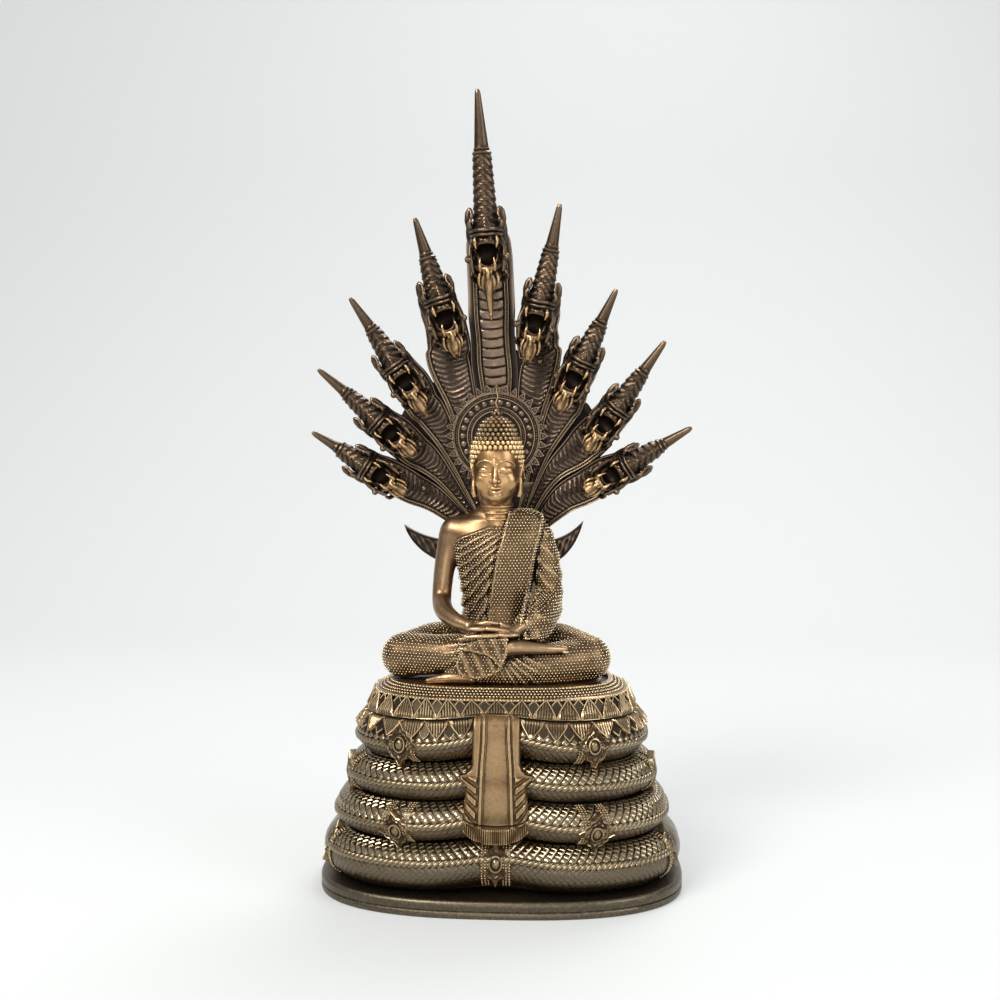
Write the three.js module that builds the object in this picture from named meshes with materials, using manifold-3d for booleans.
// A seated figure in meditation on the coils of a nine-headed naga, whose hood
// spreads behind it. Cast metal, in four separate castings: an oval plinth, the
// coiled throne with its lotus seat, the hood, and the figure, which only rests
// in the seat. Millimetres, +Z up. The figure faces -Y. The origin is the middle
// of the plinth's underside.

import * as THREE from 'three';
import { mergeVertices } from 'three/addons/utils/BufferGeometryUtils.js';
import Module from 'manifold-3d';

const wasm = await Module();
wasm.setup();

// Gap left between castings that touch.
const FIT_GAP = 0.3;

const PLINTH = {
  width: 206,
  depth: 142,
  height: 9.5,
  edge: 1.4, // bevel round the top edge
  squareness: 2.6, // exponent of the oval: 2 is an ellipse
};

// Lists run from the lowest coil up.
const COILS = {
  widths: [197, 187, 173, 163],
  depths: [132, 126, 120, 113],
  heights: [26, 21.5, 20, 24.5],
  groove: 8, // how far a seam lies behind the ridges beside it
  dip: 7, // how far the front middle lies behind the two front lobes
  dipWidth: 25,
  lift: 2.5, // how far the coils rise in the front middle
  squareness: 2.7,
  facets: 28, // round each coil
};

const TAIL = {
  reach: 102.5, // from the middle to the tail's outer side
  thickness: 22,
  height: 26,
  behind: 3, // how far it stands out behind the lowest coil
  sweep: 0.05, // how far its ends come round to the front, as a share of a turn
};

const SEAT = {
  clearance: 0.9, // round the figure's base slab
  recess: 2.8,
  rim: 1.2, // flat lip round the recess
  beadBand: 8.5, // width of the sloping band of beads
  beadDrop: 4.8, // how far that band falls to its outer edge
  frieze: 11.5, // height of the frieze of upright petals
  friezeLean: 5, // how far the frieze's foot stands out past its top
};

const PETALS = {
  count: 36, // in each of the two rows
  up: [8.6, 3.2], // heights of the upright row's tips and of the clefts between
  down: [10, 4.6], // the same of the hanging row, downwards
  thickness: 2.1,
};

const PENDANT = {
  widths: [25, 25, 26, 38, 32, 34, 35], // from its top down to its hem, at even heights
  rise: 2.6, // how far its top reaches above the seam of the petals
  length: 64,
  thickness: 2.6,
  bow: 1.3, // how far its edges fall back
  sink: 15,
};

// Places: which coil, and at what share of a turn from the front middle.
const MEDALLION = {
  width: 17.5,
  height: 18.5,
  thickness: 2.2,
  sink: 3,
  places: [[3, 0.09], [3, 0.91], [2, 0.205], [2, 0.775], [1, 0.08], [1, 0.92],
    [0, 0], [0, 0.208], [0, 0.79]],
};

const FIGURE = {
  lap: 127, // overall width across the knees
  aside: -3, // the figure sits a little to one side of its base
  baseThickness: 4,
};

const HOOD = {
  height: 262, // from the waist up to the tip of the middle horn
  footWidth: 38,
  footDepth: 18,
  footDrop: 17.8, // from the petals' seam down to the ledge on which the stem stands
  behindSeat: 1.2, // metal between the seat's rim and the stem
  upright: 10.4, // the stem leans forward from this far above the figure's foot
  waistRise: 76.4, // from the figure's foot up to where the necks start to part
  waistWidth: 36,
  frontY: 26, // front of the hood behind the head
  thickness: 13,
  neckWidth: 23.5,
  web: 8, // thickness of the web that joins the necks
  // How far the web's clefts lie behind the line from mouth to mouth, from the
  // middle pair outwards.
  clefts: [25, 9, -10, -14],
};

const HALO = { radius: 24.6, x: -4.6, rise: 63.3, ring: 1.5, points: 16, pointHeight: 5.5 };

// Crescent fins behind the elbows.
const FINS = [
  { side: -1, reach: 61, tip: 10 },
  { side: 1, reach: 46.5, tip: 12.9 },
];
const FIN = { rootDrop: 6, thickness: 4, rootX: 14, width: 18 };

// One row a neck: where its mouth is, where the neck passes half way down to the
// waist, which way its horn points, how long the horn is and how far down the
// beard hangs, in hundredths of the hood's height, from the middle of its waist.
// The castings are finished by hand, so the two sides differ.
const HEAD_ROWS = [
  { x: -3.3, z: 62.6, neck: [-2.5, 41.2], lean: -3.7, horn: 37.4, chin: 13, girth: 1.15 },
  { x: -12.5, z: 48.5, neck: [-12, 37.4], lean: -16.6, horn: 24.6, chin: 7.3, girth: 1.03 },
  { x: -20.8, z: 35.1, neck: [-13.9, 26.3], lean: -34, horn: 23.6, chin: 8, girth: 0.93 },
  { x: -23.9, z: 24, neck: [-14.9, 16.8], lean: -49.2, horn: 22.9, chin: 5, girth: 0.87 },
  { x: -26.2, z: 14.7, neck: [-14.1, 9.9], lean: -58, horn: 19.4, chin: 4.6, girth: 0.84 },
  { x: 7, z: 47.6, neck: [8.4, 37.4], lean: 11.2, horn: 27.8, chin: 7.6, girth: 1.03 },
  { x: 14.9, z: 35.5, neck: [10.3, 26.3], lean: 25.5, horn: 23, chin: 6.1, girth: 0.95 },
  { x: 21.8, z: 25.9, neck: [9.5, 15.3], lean: 35.8, horn: 23.4, chin: 5.7, girth: 0.9 },
  { x: 22.9, z: 15, neck: [11.8, 9.9], lean: 59.2, horn: 21.5, chin: 4.2, girth: 0.88 },
];

const HEAD = {
  forward: 16, // how far a mouth stands in front of the hood
  width: 18.5,
  crestWidth: 13,
  tipWidth: 2.8,
  notch: 0.64, // where the smooth tip of the horn starts, as a share of its length
  snout: 6, // how far the upper lip stands out
  lipRise: 9, // from the middle of the mouth up to the upper lip
  earReach: 3,
  earHeight: 11,
};

const HEADS = HEAD_ROWS.map((row) => {
  const share = HOOD.height / 100;
  const scaled = ['x', 'z', 'horn', 'chin'].map((key) => [key, row[key] * share]);
  return { ...row, ...Object.fromEntries(scaled), neck: row.neck.map((v) => v * share) };
});

const COLOURS = {
  bronze: { color: 0x7d6038, roughness: 0.42, metalness: 0.9 },
  dark: { color: 0x3b2c22, roughness: 0.5, metalness: 0.85 },
  gold: { color: 0x9a7442, roughness: 0.38, metalness: 0.95 },
};

const { cos, sin, sign, abs, pow, PI, exp, hypot, min, max } = Math;
const vec = (x, y, z) => new THREE.Vector3(x, y, z);
const mix = (a, b, t) => a + (b - a) * t;
const sum = (list) => list.reduce((total, value) => total + value, 0);
const SIDES = [-1, 1];

// Closed surface through a stack of equal rings, each end closed by a fan.
function skin(rings) {
  const count = rings[0].length;
  const positions = [];
  const triangles = [];
  const put = (p) => positions.push(p.x, p.y, p.z) / 3 - 1;
  for (const ring of rings) ring.forEach(put);
  for (let row = 0; row < rings.length - 1; row += 1) {
    for (let i = 0; i < count; i += 1) {
      const a = row * count + i;
      const b = row * count + ((i + 1) % count);
      triangles.push(a, b, b + count, a, b + count, a + count);
    }
  }
  for (const [row, forward] of [[0, false], [rings.length - 1, true]]) {
    const middle = rings[row]
      .reduce((total, p) => total.add(p), vec(0, 0, 0))
      .multiplyScalar(1 / count);
    const centre = put(middle);
    for (let i = 0; i < count; i += 1) {
      const a = row * count + i;
      const b = row * count + ((i + 1) % count);
      triangles.push(...(forward ? [a, b, centre] : [b, a, centre]));
    }
  }
  const geometry = new THREE.BufferGeometry();
  geometry.setAttribute('position', new THREE.Float32BufferAttribute(positions, 3));
  geometry.setIndex(triangles);
  return geometry;
}

function volumeOf(vertices, triangles) {
  let total = 0;
  for (let i = 0; i < triangles.length; i += 3) {
    const [a, b, c] = [0, 1, 2].map((k) => {
      const at = triangles[i + k] * 3;
      return vec(vertices[at], vertices[at + 1], vertices[at + 2]);
    });
    total += a.dot(b.cross(c));
  }
  return total;
}

// A closed geometry as a solid that can be joined and cut.
function solid(geometry) {
  const bare = geometry.clone();
  bare.deleteAttribute('normal');
  bare.deleteAttribute('uv');
  const merged = mergeVertices(bare, 1e-4);
  const vertices = new Float32Array(merged.attributes.position.array);
  const triangles = new Uint32Array(merged.index.array);
  if (volumeOf(vertices, triangles) < 0) {
    for (let i = 0; i < triangles.length; i += 3) {
      [triangles[i + 1], triangles[i + 2]] = [triangles[i + 2], triangles[i + 1]];
    }
  }
  return new wasm.Manifold(
    new wasm.Mesh({ numProp: 3, vertProperties: vertices, triVerts: triangles }),
  );
}

const join = (solids) => solids.reduce((whole, part) => whole.add(part));

function meshOf(name, manifold, colour) {
  const { vertProperties, triVerts, numProp } = manifold.getMesh();
  const positions = new Float32Array((vertProperties.length / numProp) * 3);
  for (let i = 0; i < positions.length / 3; i += 1) {
    for (let k = 0; k < 3; k += 1) positions[i * 3 + k] = vertProperties[i * numProp + k];
  }
  const geometry = new THREE.BufferGeometry();
  geometry.setAttribute('position', new THREE.BufferAttribute(positions, 3));
  geometry.setIndex(new THREE.BufferAttribute(new Uint32Array(triVerts), 1));
  geometry.computeVertexNormals();
  const mesh = new THREE.Mesh(geometry, new THREE.MeshStandardMaterial(colour));
  mesh.name = name;
  return mesh;
}

// Rounded oblong: point at a share of a turn, from the front middle, leftwards.
function oblong(halfWidth, halfDepth, squareness, share) {
  const turn = share * 2 * PI;
  const s = -sin(turn);
  const c = -cos(turn);
  const power = 2 / squareness;
  return [
    halfWidth * sign(s) * pow(abs(s), power),
    halfDepth * sign(c) * pow(abs(c), power),
  ];
}

function oblongRing(halfWidth, halfDepth, squareness, z, count) {
  return Array.from({ length: count }, (_, i) => {
    const [x, y] = oblong(halfWidth, halfDepth, squareness, i / count);
    return vec(x, y, z);
  });
}

// Tube along a smooth curve through points, with its own half width and half
// height at each of them. Its ends are flat, or domed by one more ring.
function limb(points, halfWidths, halfHeights, options = {}) {
  const { sides = 8, steps = 6, up = vec(0, 0, 1), domes = [true, true] } = options;
  const curve = new THREE.CatmullRomCurve3(points.map((p) => vec(...p)));
  const along = (list, t) => {
    const at = t * (list.length - 1);
    const low = min(Math.floor(at), list.length - 2);
    return mix(list[low], list[low + 1], at - low);
  };
  const ringAt = (t, shift, shrink) => {
    const tangent = curve.getTangent(t);
    const side = tangent.clone().cross(up).normalize();
    const rise = side.clone().cross(tangent);
    const reach = min(along(halfWidths, t), along(halfHeights, t));
    const middle = curve.getPoint(t).addScaledVector(tangent, shift * reach);
    return Array.from({ length: sides }, (_, i) => {
      const turn = ((i + 0.5) / sides) * 2 * PI;
      return middle
        .clone()
        .addScaledVector(side, cos(turn) * along(halfWidths, t) * shrink)
        .addScaledVector(rise, sin(turn) * along(halfHeights, t) * shrink);
    });
  };
  const dome = [0.7, 0.62];
  const rings = domes[0] ? [ringAt(0, -dome[0], dome[1])] : [];
  for (let i = 0; i <= steps; i += 1) rings.push(ringAt(i / steps, 0, 1));
  if (domes[1]) rings.push(ringAt(1, dome[0], dome[1]));
  return solid(skin(rings));
}

// Flat outline, given as [x, z] points, as a slab that faces -Y. Its front is at y.
function slab(outline, thickness, y = 0) {
  const shape = new THREE.Shape(outline.map(([x, z]) => new THREE.Vector2(x, z)));
  const geometry = new THREE.ExtrudeGeometry(shape, { depth: thickness, bevelEnabled: false });
  geometry.rotateX(PI / 2);
  geometry.translate(0, y + thickness, 0);
  return geometry;
}

// Plinth

function makePlinth() {
  const ring = (inset, z) =>
    oblongRing(PLINTH.width / 2 - inset, PLINTH.depth / 2 - inset, PLINTH.squareness, z, 30);
  return solid(
    skin([ring(0, 0), ring(0, PLINTH.height - PLINTH.edge), ring(PLINTH.edge, PLINTH.height)]),
  );
}

// Coiled throne. A row of its profile holds half width, half depth, height, and
// how much of the dip and of the lift it has in its front middle.

const throneFoot = PLINTH.height + FIT_GAP;
const coilsTop = throneFoot + sum(COILS.heights);
const figureBase = { halfWidth: FIGURE.lap * 0.47, halfDepth: FIGURE.lap * 0.29 };
const recessSize = {
  halfWidth: figureBase.halfWidth + SEAT.clearance,
  halfDepth: figureBase.halfDepth + SEAT.clearance,
};
const rimTop = coilsTop + SEAT.frieze + SEAT.beadDrop;
const seatFloor = rimTop - SEAT.recess;
const figureFoot = seatFloor + FIT_GAP;
const waistZ = figureFoot + HOOD.waistRise;

const friezeHead = [recessSize.halfWidth, recessSize.halfDepth]
  .map((size) => size + SEAT.rim + SEAT.beadBand);
const friezeFoot = friezeHead.map((size) => size + SEAT.friezeLean);

function throneSpot([halfWidth, halfDepth, z, dip = 0, lift = 0], share) {
  const [x, y] = oblong(halfWidth, halfDepth, COILS.squareness, share);
  const middle = y < 0 ? exp(-pow(x / COILS.dipWidth, 2)) : 0;
  return vec(x, y + dip * COILS.dip * middle, z + lift * COILS.lift * middle);
}

const coilFoot = (coil) => throneFoot + sum(COILS.heights.slice(0, coil));

// Row on a coil: rise is the share of its height, depth the share of its groove.
function coilRow(coil, rise, depth) {
  const inset = depth * COILS.groove;
  const z = coilFoot(coil) + rise * COILS.heights[coil];
  return [
    COILS.widths[coil] / 2 - inset, COILS.depths[coil] / 2 - inset, z, 1, z > throneFoot ? 1 : 0,
  ];
}

const COIL_PROFILE = [[0, 0.9], [0.22, 0.25], [0.5, 0], [0.8, 0.36]];

const seamRow = [...friezeFoot, coilsTop, 0.5, 0.3];
const headRow = [...friezeHead, coilsTop + SEAT.frieze];
const topCoil = COILS.heights.length - 1;
const ridgeRow = coilRow(topCoil, 0.4, 0);

// Row part of the way from one row to another, and so far out from them.
function rowBetween(from, to, t, out = 0) {
  return from.map((value, i) => mix(value, to[i] ?? 0, t) + (i < 2 ? out : 0));
}

// The band of petals. Each row of points on their edges has its tips by turns
// with its clefts. The band starts inside the top coil.
function petalRows() {
  const toRidge = (drop) => drop / (seamRow[2] - ridgeRow[2]);
  const toHead = (rise) => rise / SEAT.frieze;
  const pair = (to, t, heights, out, first) => {
    const [tip, cleft] = heights.map((height) => rowBetween(seamRow, to, t(height), out));
    return first ? [tip, cleft] : [cleft, tip];
  };
  const upright = (out) => pair(headRow, toHead, PETALS.up, out, true);
  const lip = PETALS.thickness;
  return [
    [rowBetween(seamRow, ridgeRow, toRidge(PETALS.down[1]), -3 * lip)],
    pair(ridgeRow, toRidge, PETALS.down, lip, false),
    [rowBetween(seamRow, ridgeRow, 0.04, lip)], [rowBetween(seamRow, headRow, 0.04, lip)],
    upright(lip), upright(0), [headRow],
    [[recessSize.halfWidth + SEAT.rim, recessSize.halfDepth + SEAT.rim, rimTop]],
  ];
}

function coilRows() {
  const coils = COILS.heights.flatMap((_, coil) =>
    COIL_PROFILE.filter(([rise]) => coil < topCoil || rise < 0.3)
      .map(([rise, depth]) => coilRow(coil, rise, depth)));
  return [...coils, ridgeRow, rowBetween(seamRow, ridgeRow, 0.12)];
}

// Sets a thing that faces -Y against the throne at a share of a turn, with its
// foot on the low row and its upright towards the high row.
function against(geometry, low, high, share) {
  const step = 0.004;
  const foot = throneSpot(low, share);
  const up = throneSpot(high, share).sub(foot).normalize();
  const along = throneSpot(low, share - step).sub(throneSpot(low, share + step));
  const inward = up.clone().cross(along).normalize();
  const basis = new THREE.Matrix4().makeBasis(inward.clone().cross(up), inward, up);
  basis.setPosition(foot);
  return solid(geometry.clone().applyMatrix4(basis));
}

// Shares of a turn that lie evenly along a row's outline.
function evenShares([halfWidth, halfDepth], count) {
  const fine = 720;
  const lengths = [0];
  let last = oblong(halfWidth, halfDepth, COILS.squareness, 0);
  for (let i = 1; i <= fine; i += 1) {
    const next = oblong(halfWidth, halfDepth, COILS.squareness, i / fine);
    lengths.push(lengths[i - 1] + hypot(next[0] - last[0], next[1] - last[1]));
    last = next;
  }
  return Array.from({ length: count }, (_, k) => {
    const want = (k / count) * lengths[fine];
    return lengths.findIndex((length) => length >= want) / fine;
  });
}

// How far forward the throne's front middle stands at a height.
function frontAt(z) {
  const rows = [...coilRows(), seamRow, headRow];
  const above = max(rows.findIndex((row) => row[2] >= z), 1);
  const [low, high] = [rows[above - 1], rows[above]];
  const t = (z - low[2]) / (high[2] - low[2]);
  return mix(throneSpot(low, 0).y, throneSpot(high, 0).y, t);
}

// The cloth that hangs from the seat over the front of the coils. It spans the
// grooves and flares to a curved hem.
function pendantCloth() {
  const topZ = coilsTop + PENDANT.rise;
  const hemZ = topZ - PENDANT.length;
  const rows = PENDANT.widths.map((width, i) =>
    [mix(topZ, hemZ, i / (PENDANT.widths.length - 1)), width]);
  const straight = (z) => mix(frontAt(topZ), frontAt(hemZ), (topZ - z) / PENDANT.length);
  const rings = rows.map(([z, width]) => {
    const y = min(frontAt(z), straight(z)) - PENDANT.thickness;
    const half = width / 2;
    return [
      vec(-half, y + PENDANT.bow, z + PENDANT.bow), vec(-half * 0.5, y, z), vec(half * 0.5, y, z),
      vec(half, y + PENDANT.bow, z + PENDANT.bow), vec(half, y + PENDANT.sink, z),
      vec(-half, y + PENDANT.sink, z),
    ];
  });
  return solid(skin(rings));
}

// Lozenge boss on a coil's ridge.
function medallion(coil, share) {
  const [w, h] = [MEDALLION.width / 2, MEDALLION.height / 2];
  const lozenge = slab(
    [[-w, 0], [0, h], [w, 0], [0, -h]], MEDALLION.thickness + MEDALLION.sink, -MEDALLION.thickness,
  );
  return against(lozenge, coilRow(coil, 0.48, 0.02), coilRow(coil, 0.52, 0.02), share);
}

// The naga's smooth tail comes round behind the lowest coil.
function tailCoil() {
  const bends = 10;
  const centreZ = throneFoot + TAIL.height / 2;
  const points = Array.from({ length: bends + 1 }, (_, i) => {
    const share = mix(0.25 - TAIL.sweep, 0.75 + TAIL.sweep, i / bends);
    const inset = TAIL.thickness / 2;
    const [x, y] = oblong(
      TAIL.reach - inset, COILS.depths[0] / 2 + TAIL.behind - inset, COILS.squareness, share,
    );
    return [x, y, centreZ];
  });
  const taper = points.map((_, i) => (i === 0 || i === bends ? 0.6 : 1));
  return limb(
    points, taper.map((t) => (t * TAIL.thickness) / 2), taper.map((t) => (t * TAIL.height) / 2),
    { sides: 6, steps: 10 },
  );
}

// Slot in the back of the throne in which the hood's stem stands.
function hoodSlot() {
  const gap = FIT_GAP;
  const section = [HOOD.footWidth / 2 + gap, HOOD.footDepth / 2 + gap];
  const rings = [stemFootZ - gap, rimTop + gap].map((z) =>
    oblongRing(...section, HOOD_SQUARENESS, z, 16).map((p) => vec(p.x, p.y + stemFootY, z)));
  return solid(skin(rings));
}

function makeThrone() {
  const stack = (rows, shares) => solid(skin(rows.map((row) =>
    shares.map((share, i) => throneSpot(row[i % row.length], share)))));
  const coils = stack(coilRows().map((row) => [row]), evenShares(seamRow, COILS.facets));
  const petals = stack(petalRows(), evenShares(seamRow, PETALS.count * 2));
  const recess = solid(skin([seatFloor, rimTop + SEAT.recess].map((z) =>
    oblongRing(recessSize.halfWidth, recessSize.halfDepth, COILS.squareness, z, 32))));
  const bosses = MEDALLION.places.map(([coil, share]) => medallion(coil, share));
  return join([coils, petals, tailCoil(), ...bosses, pendantCloth()])
    .subtract(recess)
    .subtract(hoodSlot());
}

// Hood

const HOOD_SQUARENESS = 3;
const stemFootY = recessSize.halfDepth + SEAT.rim + HOOD.behindSeat + HOOD.footDepth / 2;
const neckY = HOOD.frontY + HOOD.thickness / 2;
const stemFootZ = coilsTop - HOOD.footDrop;
const leanFrom = figureFoot + HOOD.upright;
const radians = THREE.MathUtils.degToRad;

// Centre line of the stem: upright behind the seat, then leaning to the back of the head.
function stemY(z) {
  const t = (z - leanFrom) / (waistZ + HOOD.waistWidth - leanFrom);
  return mix(stemFootY, neckY, THREE.MathUtils.clamp(t, 0, 1));
}

// One neck: from the stem up to the waist, then out to its own mouth.
function neckPath(head) {
  const outermost = max(...HEADS.map((other) => abs(other.x)));
  const waistX = (head.x / outermost) * HOOD.waistWidth * 0.25;
  const low = waistZ - HOOD.neckWidth;
  const [x, z] = head.neck;
  return [
    [waistX * 0.8, stemY(low), low],
    [waistX, stemY(waistZ), waistZ],
    [x, neckY, waistZ + z],
    [mix(x, head.x, 0.6), neckY, waistZ + mix(z, head.z, 0.6)],
    [head.x, neckY - HEAD.forward * 0.4, waistZ + head.z],
  ];
}

function neck(head) {
  const full = (HOOD.neckWidth / 2) * head.girth;
  const half = HOOD.thickness / 2;
  return limb(
    neckPath(head),
    [full * 0.5, full * 0.52, full * 0.78, full, full * 0.82],
    [half, half, half, half, half * 0.85],
    { sides: 6, steps: 4, up: vec(0, -1, 0), domes: [false, false] },
  );
}

// Web that joins the necks: its edge dips between each two mouths.
function hoodWeb() {
  const order = [...HEADS].sort((a, b) => a.x / a.z - b.x / b.z);
  const edge = order.slice(1).map((head, i) => {
    const other = order[i];
    const lean = radians((head.lean + other.lean) / 2);
    const back = HOOD.clefts[Math.floor(abs(i + 1 - order.length / 2))];
    return [(head.x + other.x) / 2 - sin(lean) * back, (head.z + other.z) / 2 - cos(lean) * back];
  });
  const waist = (side) => [side * HOOD.waistWidth * 0.4, 0];
  const outline = [waist(-1), order[0].neck, ...edge, order[order.length - 1].neck, waist(1)];
  return solid(slab(outline, HOOD.web, neckY - HOOD.web / 2)).translate([0, 0, waistZ]);
}

// Turns head measures (across, out of the hood, along the horn) into a point.
function headFrame(head) {
  const lean = radians(head.lean);
  const mouthY = HOOD.frontY - HEAD.forward;
  return (across, out, along) => [
    head.x + across * cos(lean) + along * sin(lean),
    mouthY - out,
    waistZ + head.z - across * sin(lean) + along * cos(lean),
  ];
}

// Gaping head in one skin of ovals, from the beard up to the tip of the horn.
function nagaHead(head) {
  const at = headFrame(head);
  const w = (HEAD.width / 2) * head.girth;
  const crest = (HEAD.crestWidth / 2) * head.girth;
  const notch = head.horn * HEAD.notch;
  const lip = HEAD.lipRise * head.girth;
  // Height along the horn, half width, and how far out its front and back are.
  const rows = [
    [-head.chin, 1.4, -1, -4],
    [-mix(head.chin, 6, 0.5), w * 0.6, 0.5, -8],
    [-5, w * 0.88, 1.5, -12],
    [-2, w * 0.8, -6, -14],
    [lip - 3, w * 0.88, -6, -15],
    [lip, w, HEAD.snout, -15],
    [lip + 4, w * 1.02, HEAD.snout * 0.7, -14],
    [lip + 6, w + HEAD.earReach, -3, -11],
    [lip + 6 + HEAD.earHeight, w + HEAD.earReach * 0.2, -4, -11],
    [lip + 7 + HEAD.earHeight, crest, -1, -12],
    [notch, crest * 0.68, -3, -11],
    [notch + 1, crest * 0.56, -3.6, -10.4],
    [head.horn, HEAD.tipWidth / 2, -2.4, -2.4 - HEAD.tipWidth],
  ];
  const sides = 6;
  return solid(skin(rows.map(([along, half, front, back]) =>
    Array.from({ length: sides }, (_, i) => {
      const turn = (i / sides) * 2 * PI;
      const out = (front + back) / 2 + (sin(turn) * (front - back)) / 2;
      return vec(...at(half * cos(turn), out, along));
    }))));
}

// Flat star of flame points with a raised ring, behind the figure's head.
function haloDisc() {
  const outer = HALO.radius + HALO.ring;
  const star = Array.from({ length: HALO.points * 2 }, (_, i) => {
    const turn = (i / HALO.points) * PI;
    const reach = outer + (i % 2 ? 0 : HALO.pointHeight);
    return [reach * sin(turn), reach * cos(turn)];
  });
  const back = neckY;
  const front = HOOD.frontY - HALO.ring;
  const profile = [
    [HALO.radius - HALO.ring * 2, 0], [HALO.radius + HALO.ring, 0],
    [HALO.radius + HALO.ring * 0.5, -HALO.ring], [HALO.radius - HALO.ring * 1.5, -HALO.ring],
    [HALO.radius - HALO.ring * 2, 0],
  ];
  const ring = new THREE.LatheGeometry(profile.map((p) => new THREE.Vector2(...p)), HALO.points);
  ring.translate(0, front + 0.01, 0);
  return join([solid(slab(star, back - front, front)), solid(ring)])
    .translate([HALO.x, 0, waistZ + HALO.rise]);
}

function fin({ side, reach, tip }) {
  const rootZ = waistZ - FIN.rootDrop;
  const curve = new THREE.Shape();
  curve.moveTo(side * FIN.rootX, rootZ + FIN.width * 0.4);
  curve.quadraticCurveTo(side * reach * 0.7, rootZ + FIN.width * 0.2, side * reach, waistZ + tip);
  curve.quadraticCurveTo(
    side * reach * 0.85, rootZ - FIN.width * 0.5, side * FIN.rootX, rootZ - FIN.width * 0.6,
  );
  const geometry = new THREE.ExtrudeGeometry(curve, {
    depth: FIN.thickness, bevelEnabled: false, curveSegments: 5,
  });
  geometry.rotateX(PI / 2);
  geometry.translate(0, stemY(rootZ) + FIN.thickness / 2, 0);
  return solid(geometry);
}

function hoodStem() {
  const rows = [
    [stemFootZ, HOOD.footWidth, HOOD.footDepth],
    [leanFrom, HOOD.footWidth, HOOD.footDepth],
    [waistZ, HOOD.waistWidth, HOOD.thickness],
    [waistZ + HOOD.waistWidth, HOOD.waistWidth * 1.3, HOOD.thickness * 0.8],
  ];
  return solid(skin(rows.map(([z, width, depth]) =>
    oblongRing(width / 2, depth / 2, HOOD_SQUARENESS, z, 12)
      .map((p) => vec(p.x, p.y + stemY(z), z)))));
}

function makeHood() {
  return join([
    hoodStem(), hoodWeb(), haloDisc(), ...FINS.map(fin),
    ...HEADS.map(neck), ...HEADS.map(nagaHead),
  ]);
}

// Seated figure. It is laid out in hundredths of its lap, from the middle of its base.

const unit = FIGURE.lap / 100;

const toFigure = (x, y, z) => [x * unit + FIGURE.aside, y * unit, z * unit + figureFoot];
const placed = (points) => points.map(([x, y, z]) => toFigure(x, y, z));

const scaled = (sizes) => sizes.map((size) => size * unit);

function figureLimb(points, halfWidths, halfHeights, options) {
  return limb(placed(points), scaled(halfWidths), scaled(halfHeights), options);
}

// Stack of ovals: rows of height, half width, front and back.
function figureStack(rows, count) {
  return solid(skin(rows.map(([z, halfWidth, front, back]) =>
    oblongRing(halfWidth, (back - front) / 2, 2.1, z, count)
      .map((p) => vec(...toFigure(p.x, p.y + (front + back) / 2, p.z))))));
}

const TORSO = [
  [4, 25, -14, 22],
  [14, 22, -12, 21],
  [24, 17, -8, 17],
  [34, 14.8, -6.5, 14],
  [46, 16.4, -8, 13.5],
  [58, 19.4, -9.5, 13],
  [66, 20.8, -8, 12],
  [71, 16.5, -5.5, 10.5],
  [74.5, 8, -4.5, 9],
];

// The robe in the same hundredths.
const ROBE = { edge: 65, slope: 0.85, thickness: 0.6, fold: 0.8, squareness: 2.3 };

const SKULL = [
  [80.4, 3.4, -9.2, 3],
  [82.4, 6, -11, 7],
  [86, 8.6, -11.6, 9],
  [91, 10.1, -11.7, 11],
  [97, 10.6, -11.2, 12],
  [104, 10.4, -10.6, 12],
];

const HAIR = [
  [94, 11, -3, 12.6],
  [100, 11.6, -8.4, 13.2],
  [104, 11.4, -11.2, 12.9],
  [108, 9.8, -9.8, 11.4],
  [111.4, 7, -6.6, 8.4],
  [114, 6.2, -5.2, 7],
  [117.6, 4.6, -3.4, 5],
  [120.2, 1.6, -0.8, 2.4],
];

// Tight curls, as a stack of ovals whose points stand in and out by turns.
function curledHair() {
  const count = 16;
  const rows = 8;
  const rings = Array.from({ length: rows + 1 }, (_, row) => {
    const at = (row / rows) * (HAIR.length - 1);
    const low = min(Math.floor(at), HAIR.length - 2);
    const [z, half, front, back] = HAIR[low].map((v, i) => mix(v, HAIR[low + 1][i], at - low));
    return oblongRing(half, (back - front) / 2, 2.1, z, count).map((p, i) => {
      const knob = (i + row) % 2 ? 1.05 : 0.98;
      return vec(...toFigure(p.x * knob, p.y * knob + (front + back) / 2, p.z));
    });
  });
  return solid(skin(rings));
}

function face() {
  const facing = vec(0, -1, 0);
  const nose = figureLimb(
    [[0, -10.4, 97.5], [0, -11.8, 93.5], [0, -12.6, 90.4]],
    [0.8, 1, 1.7], [1, 1.2, 1.2], { sides: 5, steps: 2, up: facing, domes: [false, true] },
  );
  const lips = figureLimb(
    [[-2.8, -11, 87], [0, -11.8, 86.5], [2.8, -11, 87]],
    [0.6, 1, 0.6], [0.6, 1.1, 0.6], { sides: 5, steps: 2, domes: [false, false] },
  );
  const lids = SIDES.map((side) => figureLimb(
    [[side * 2.2, -10.8, 94.2], [side * 4.6, -11, 94.6], [side * 7, -9.2, 94.4]],
    [0.4, 1, 0.4], [0.5, 1.2, 0.5], { sides: 4, steps: 2, domes: [false, false] },
  ));
  const brows = SIDES.map((side) => figureLimb(
    [[side * 0.8, -11, 97.2], [side * 4.6, -10.8, 99.2], [side * 8.6, -8, 97.4]],
    [0.5, 0.6, 0.4], [0.5, 0.6, 0.4], { sides: 4, steps: 2, domes: [false, false] },
  ));
  return [nose, lips, ...lids, ...brows];
}

const ears = () => SIDES.map((side) => figureLimb(
  [[side * 10.6, 1.5, 99], [side * 11.6, 1.2, 92], [side * 10.6, 0.4, 81.5]],
  [0.9, 1, 0.9], [2.2, 1.8, 1.5], { sides: 5, steps: 2, up: vec(0, -1, 0), domes: [false, true] },
));

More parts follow.
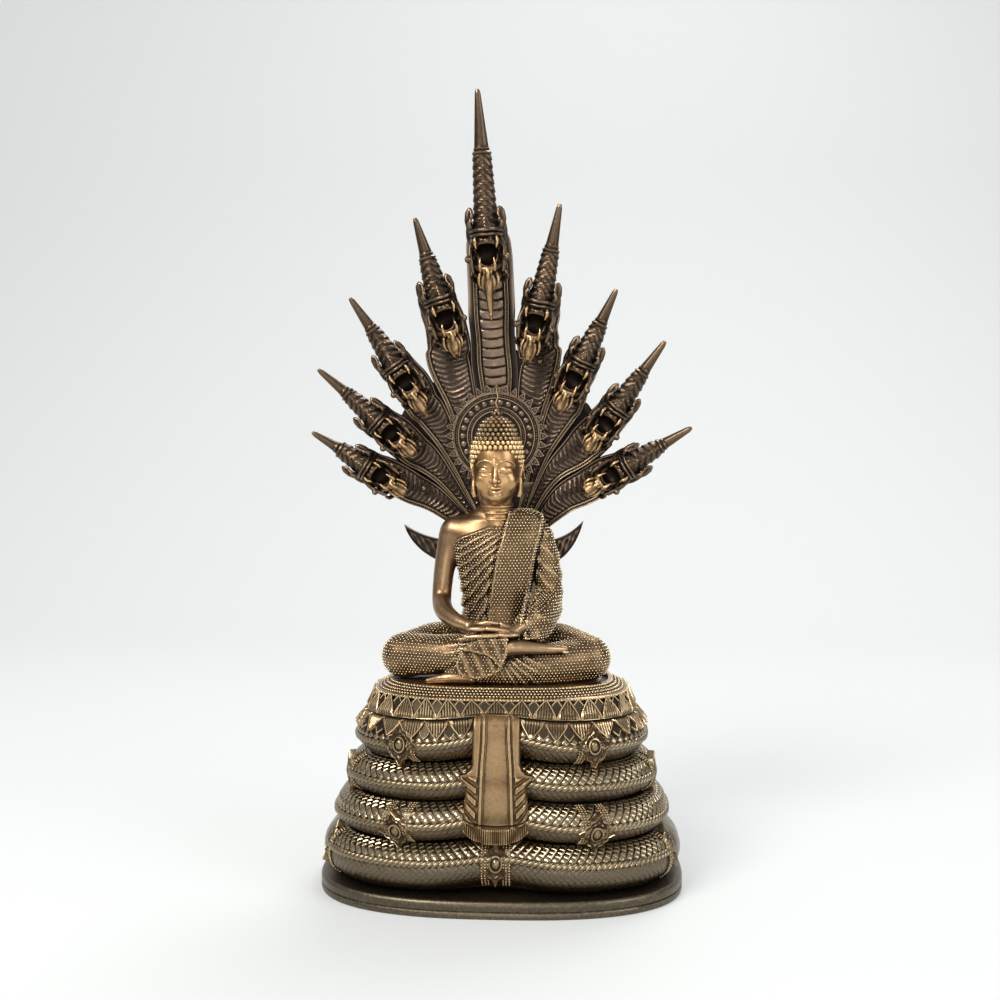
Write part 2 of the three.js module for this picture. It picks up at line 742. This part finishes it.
function head() {
  const neckRings = figureStack(
    [[72, 7.8, -5.5, 8.5], [74.6, 7.6, -6.4, 8.5], [76, 7.2, -6.2, 8.5], [84, 6.8, -6.5, 8]], 10,
  );
  const flame = figureLimb(
    [[0, 0.8, 118.5], [0, 0.8, 122], [0.3, 0.8, 127], [-0.3, 0.8, 131.4]],
    [1.8, 1.6, 0.9, 0.4], [1.2, 1.1, 0.8, 0.4],
    { sides: 5, steps: 3, up: vec(0, -1, 0), domes: [false, false] },
  );
  return [neckRings, figureStack(SKULL, 12), curledHair(), flame, ...ears(), ...face()];
}

// Trunk with its robe: the robe stands out in slanting folds, and leaves the
// right shoulder bare above a line that slants down from the left shoulder.
function trunk() {
  const count = 16;
  const rows = 13;
  return solid(skin(Array.from({ length: rows + 1 }, (_, row) => {
    const at = (row / rows) * (TORSO.length - 1);
    const low = min(Math.floor(at), TORSO.length - 2);
    const [z, half, front, back] = TORSO[low].map((v, i) => mix(v, TORSO[low + 1][i], at - low));
    return Array.from({ length: count }, (_, i) => {
      const share = 1 - i / count;
      const bare = z > ROBE.edge + ROBE.slope * oblong(half, 1, ROBE.squareness, share)[0];
      const grow = bare ? 0 : ROBE.thickness + ((i + row) % 2 ? ROBE.fold : 0);
      const [x, y] = oblong(half + grow, (back - front) / 2 + grow, ROBE.squareness, share);
      return vec(...toFigure(x, y + (front + back) / 2, z));
    });
  })));
}

// The folded cloth that hangs from the left shoulder down the front to the lap.
function shoulderCloth() {
  const rows = [
    [13.5, 5.5, 75, 7.6], [12.5, -4, 73.6, 7.8], [10.5, -9.2, 67, 8], [7.5, -10.4, 57, 7.8],
    [5, -9.4, 46, 7.6], [3.5, -8.6, 35, 7.4], [3.2, -13.5, 26, 7.2],
  ];
  const rings = rows.map(([x, y, z, w], i) => {
    const out = i === 0 ? 0.2 : 1;
    const fall = i < 3 ? 3 - i : 0; // over the shoulder it slopes down outwards
    return placed([
      [x - w, y + 0.4, z], [x - w * 0.9, y - out, z], [x + w * 0.8, y - out, z - fall],
      [x + w, y + 1.6, z - fall], [x + w * 0.8, y + 6, z - 2.5 - fall],
      [x - w * 0.9, y + 6, z - 2.5],
    ]).map((p) => vec(...p));
  });
  return solid(skin(rings));
}

function arms() {
  const bare = figureLimb(
    [[-20.3, 2, 66.5], [-24, 1.5, 52], [-24.9, 0, 37], [-20, -16, 30], [-10, -24.5, 27.4]],
    [5.2, 4.8, 4.4, 4, 2.6], [5.2, 4.9, 4.4, 3.6, 2.4],
    { steps: 6, up: vec(0.3, 1, 0), domes: [true, false] },
  );
  const sleeved = figureLimb(
    [[19.6, 2, 66.5], [22.6, 1.5, 52], [23.3, 0, 37], [19, -15, 30], [11, -23.5, 27.8]],
    [6, 5.9, 5.8, 5, 3.2], [6, 5.9, 5.8, 5, 3],
    { steps: 6, up: vec(-0.3, 1, 0), domes: [true, false] },
  );
  const drape = figureLimb(
    [[23, -3, 33], [19, -13, 26], [14.5, -20, 22.5]],
    [3, 3, 2], [6, 5.5, 3], { steps: 2, sides: 6, domes: [false, false] },
  );
  return [bare, sleeved, drape];
}

// Two open hands, one on the other, palms up, the fingers of the upper one parted.
function hands() {
  return [[-1, 25.8], [1, 23.6]].flatMap(([side, z]) => {
    const palm = figureLimb(
      [[side * 11, -24.5, z + 1], [side * 5, -26, z + 0.4], [-side * 1, -26.4, z]],
      [2.6, 3.3, 3.2], [1.7, 1.4, 1.2], { sides: 6, steps: 2, domes: [false, true] },
    );
    // The lower hand shows only its heel and the side of its palm.
    const shown = side < 0 ? [0, 1, 2, 3] : [];
    const fingers = shown.map((finger) => {
      const y = -23.9 - finger * 1.6;
      return figureLimb(
        [[0, y, z], [-side * 5, y, z + 0.1], [-side * (9 - abs(finger - 1.3)), y, z + 0.5]],
        [0.8, 0.75, 0.6], [0.85, 0.75, 0.6], { sides: 4, steps: 2, domes: [false, false] },
      );
    });
    return [palm, ...fingers];
  });
}

function legs() {
  const thighs = SIDES.map((side) => figureLimb(
    [[side * 12, 11, 13], [side * 28, 3, 14], [side * 41, -7, 13]],
    [12, 11.4, 10.4], [11, 11, 9.8], { steps: 2, domes: [false, true] },
  ));
  const upperShin = figureLimb(
    [[-41, -7, 13], [-20, -17, 15], [0, -20.5, 18], [10, -20.4, 20]],
    [10, 8.4, 6.4, 5], [9.6, 8, 6, 4.4], { steps: 4, domes: [true, false] },
  );
  const lowerShin = figureLimb(
    [[41, -7, 12], [22, -16.5, 10.5], [0, -19, 8.6], [-18, -19.5, 7.6]],
    [10, 9, 7, 4], [9.6, 8.6, 6.2, 3.6], { steps: 4, domes: [true, false] },
  );
  const upperFoot = figureLimb(
    [[3.5, -22.5, 19.5], [14, -22, 20.5], [26, -20, 20], [30, -19, 19.5]],
    [3.6, 3.4, 3.2, 1.6], [3.8, 3, 2, 1], { sides: 6, steps: 3 },
  );
  const lowerFoot = figureLimb(
    [[-10, -22, 6.6], [-20, -22.5, 6.4], [-31, -20.5, 6]],
    [3, 3, 2.2], [2.6, 2.4, 1.6], { sides: 6, steps: 2 },
  );
  return [...thighs, upperShin, lowerShin, upperFoot, lowerFoot];
}

// Ends of the robe spread like a fan in the middle of the lap.
function lapCloth() {
  const flaps = [
    [[[-4, 22], [5, 22], [3.4, 11.5], [-1, 15], [-13, 18]], -27.6],
    [[[-13, 20], [3.5, 13], [3.2, 9], [-4, 5.8], [-14, 7.5], [-15, 12]], -26.4],
  ];
  return flaps.map(([outline, y]) =>
    solid(slab(outline.map(([x, z]) => scaled([x, z])), 6 * unit, y * unit))
      .translate(toFigure(0, 0, 0)));
}

function makeFigure() {
  const base = solid(skin([0, FIGURE.baseThickness].map((z) => oblongRing(
    figureBase.halfWidth, figureBase.halfDepth, COILS.squareness, z + figureFoot, 24,
  ))));
  return join([
    base, trunk(), shoulderCloth(), ...arms(),
    ...legs(), ...lapCloth(), ...hands(), ...head(),
  ]);
}

const statue = new THREE.Group();
statue.add(meshOf('plinth', makePlinth(), COLOURS.bronze));
statue.add(meshOf('coiled_throne', makeThrone(), COLOURS.bronze));
statue.add(meshOf('naga_hood', makeHood(), COLOURS.dark));
statue.add(meshOf('seated_figure', makeFigure(), COLOURS.gold));

export default statue;
